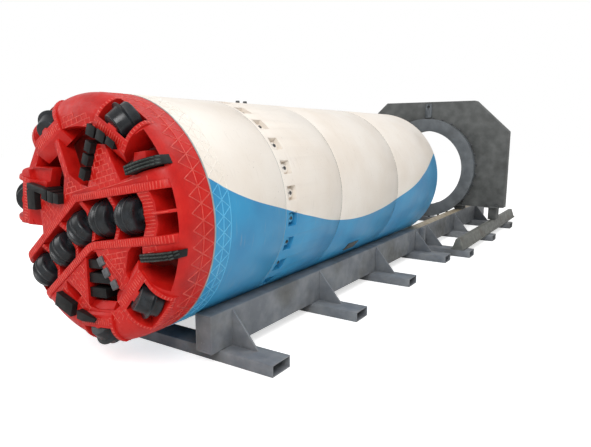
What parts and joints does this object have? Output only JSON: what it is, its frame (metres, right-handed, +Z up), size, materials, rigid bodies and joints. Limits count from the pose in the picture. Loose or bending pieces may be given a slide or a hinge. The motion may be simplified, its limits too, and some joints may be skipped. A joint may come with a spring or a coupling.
{
  "type": "pipe-jacking tunnel boring machine on launch cradle",
  "caption": "Small slurry pipe-jacking tunnel boring machine with red roller-cutter head, white and blue shield, grey launch cradle and thrust plate.",
  "frame": {"origin": "on the floor under the middle of the overall box", "axes": "+Z up, +Y along the machine axis from cutterhead to thrust plate, +X to the right seen from the front"},
  "size_m": [2.24, 7.2003, 1.8643],
  "materials": {
    "cradle_paint": "satin grey",
    "rail_steel": "worn grey",
    "shield_paint": "gloss cream above, blue below",
    "bolt_steel": "oiled",
    "bare_steel": "primer grey",
    "drive_paint": "gloss blue",
    "head_paint": "gloss red over hardfacing",
    "cutter_steel": "dark forged, satin",
    "scraper_steel": "dark forged, matt",
    "plate_paint": "matt dark grey"
  },
  "bodies": {
    "cradle": {"beam_left": "cradle_paint", "beam_right": "cradle_paint", "sleeper_1": "cradle_paint", "sleeper_2": "cradle_paint", "sleeper_3": "cradle_paint", "sleeper_4": "cradle_paint", "sleeper_5": "cradle_paint", "sleeper_6": "cradle_paint", "sleeper_7": "cradle_paint", "gussets_left": "cradle_paint", "gussets_right": "cradle_paint", "outer_rail_left": "rail_steel", "outer_rail_right": "rail_steel", "middle_can": "shield_paint", "joint_spigot": "bare_steel", "tail_can": "shield_paint", "tail_bulkhead": "bare_steel", "slurry_pipes": "bare_steel"},
    "front_shield": {"front_can": "shield_paint", "steering_can": "shield_paint", "pocket_bolts": "bolt_steel", "bulkhead": "bare_steel", "main_drive": "drive_paint"},
    "cutterhead": {"head_face": "head_paint", "head_band": "head_paint", "slot_housing": "head_paint", "crusher_cone": "head_paint", "cutter_saddles": "head_paint", "gauge_housings": "head_paint", "face_scrapers": "scraper_steel"},
    "thrust_frame": {"thrust_plate": "plate_paint", "thrust_ring": "plate_paint", "slide_shoes": "plate_paint", "lifting_lug": "plate_paint"},
    "disc_cutter_1": {"disc_cutter_1": "cutter_steel"},
    "disc_cutter_2": {"disc_cutter_2": "cutter_steel"},
    "disc_cutter_3": {"disc_cutter_3": "cutter_steel"},
    "disc_cutter_4": {"disc_cutter_4": "cutter_steel"},
    "disc_cutter_5": {"disc_cutter_5": "cutter_steel"},
    "gauge_cutter_1": {"gauge_cutter_1": "cutter_steel"},
    "gauge_cutter_2": {"gauge_cutter_2": "cutter_steel"},
    "gauge_cutter_3": {"gauge_cutter_3": "cutter_steel"},
    "gauge_cutter_4": {"gauge_cutter_4": "cutter_steel"},
    "gauge_cutter_5": {"gauge_cutter_5": "cutter_steel"}
  },
  "joints": [
    {"name": "steering_tilt", "type": "hinge", "parent": "cradle", "child": "front_shield", "pos_m": [0, -1.787, 1.6363], "axis": [-1, 0, 0], "range_deg": [0, 1.5]},
    {"name": "cutterhead_spin", "type": "hinge", "parent": "front_shield", "child": "cutterhead", "pos_m": [0, -3.554, 0.9063], "axis": [0, 1, 0], "continuous": true},
    {"name": "thrust_slide", "type": "slide", "parent": "cradle", "child": "thrust_frame", "axis": [0, -1, 0], "range_m": [0, 1.6]},
    {"name": "disc_cutter_1_spin", "type": "hinge", "parent": "cutterhead", "child": "disc_cutter_1", "pos_m": [-0.45311, -3.489, 0.55229], "axis": [-0.788, 0, -0.6157], "continuous": true},
    {"name": "disc_cutter_2_spin", "type": "hinge", "parent": "cutterhead", "child": "disc_cutter_2", "pos_m": [-0.2561, -3.489, 0.70621], "axis": [-0.788, 0, -0.6157], "continuous": true},
    {"name": "disc_cutter_3_spin", "type": "hinge", "parent": "cutterhead", "child": "disc_cutter_3", "pos_m": [-0.06698, -3.489, 0.85397], "axis": [-0.788, 0, -0.6157], "continuous": true},
    {"name": "disc_cutter_4_spin", "type": "hinge", "parent": "cutterhead", "child": "disc_cutter_4", "pos_m": [0.14301, -3.489, 0.93023], "axis": [0.9863, 0, 0.165], "continuous": true},
    {"name": "disc_cutter_5_spin", "type": "hinge", "parent": "cutterhead", "child": "disc_cutter_5", "pos_m": [0.36739, -3.489, 0.96778], "axis": [0.9863, 0, 0.165], "continuous": true},
    {"name": "gauge_cutter_1_spin", "type": "hinge", "parent": "cutterhead", "child": "gauge_cutter_1", "pos_m": [0.325, -3.488, 1.46922], "axis": [0.2939, 0.809, 0.509], "continuous": true},
    {"name": "gauge_cutter_2_spin", "type": "hinge", "parent": "cutterhead", "child": "gauge_cutter_2", "pos_m": [-0.31, -3.482, 1.44324], "axis": [-0.2939, 0.809, 0.509], "continuous": true},
    {"name": "gauge_cutter_3_spin", "type": "hinge", "parent": "cutterhead", "child": "gauge_cutter_3", "pos_m": [-0.60842, -3.478, 1.00266], "axis": [-0.5805, 0.809, 0.0919], "continuous": true},
    {"name": "gauge_cutter_4_spin", "type": "hinge", "parent": "cutterhead", "child": "gauge_cutter_4", "pos_m": [0.078, -3.476, 0.27107], "axis": [0.0716, 0.809, -0.5834], "continuous": true},
    {"name": "gauge_cutter_5_spin", "type": "hinge", "parent": "cutterhead", "child": "gauge_cutter_5", "pos_m": [0.45433, -3.494, 0.51135], "axis": [0.4436, 0.809, -0.3856], "continuous": true}
  ]
}
